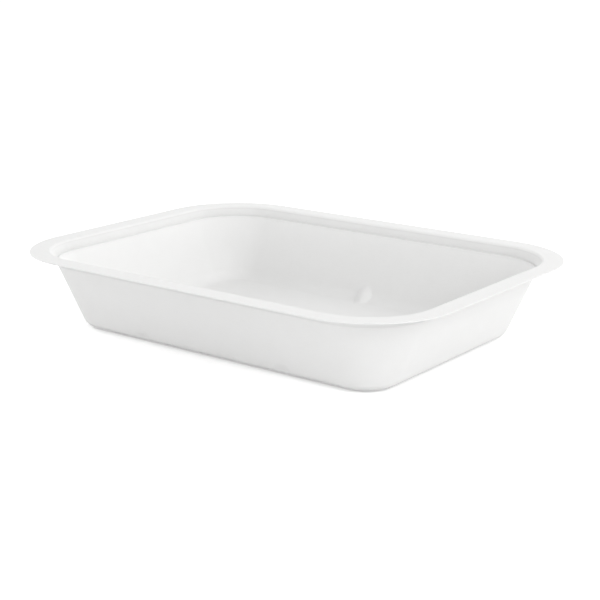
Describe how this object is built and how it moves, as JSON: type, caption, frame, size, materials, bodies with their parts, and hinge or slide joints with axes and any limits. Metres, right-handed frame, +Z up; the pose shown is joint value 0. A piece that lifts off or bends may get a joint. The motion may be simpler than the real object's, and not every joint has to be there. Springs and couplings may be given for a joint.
{
  "type": "food tray",
  "caption": "Shallow rectangular food tray of white moulded fibre, with a flat flange, a ledge under it, sloping walls, rounded corners and denest lugs.",
  "frame": {"origin": "middle of the base, on the plane that the tray stands on", "axes": "+X along the long side, +Y towards the long side that has the single lug, +Z up"},
  "size_m": [0.23, 0.1736, 0.0381],
  "materials": {
    "fibre": "matt pressed white plant fibre"
  },
  "bodies": {
    "root": {"tray": "fibre"}
  },
  "joints": []
}
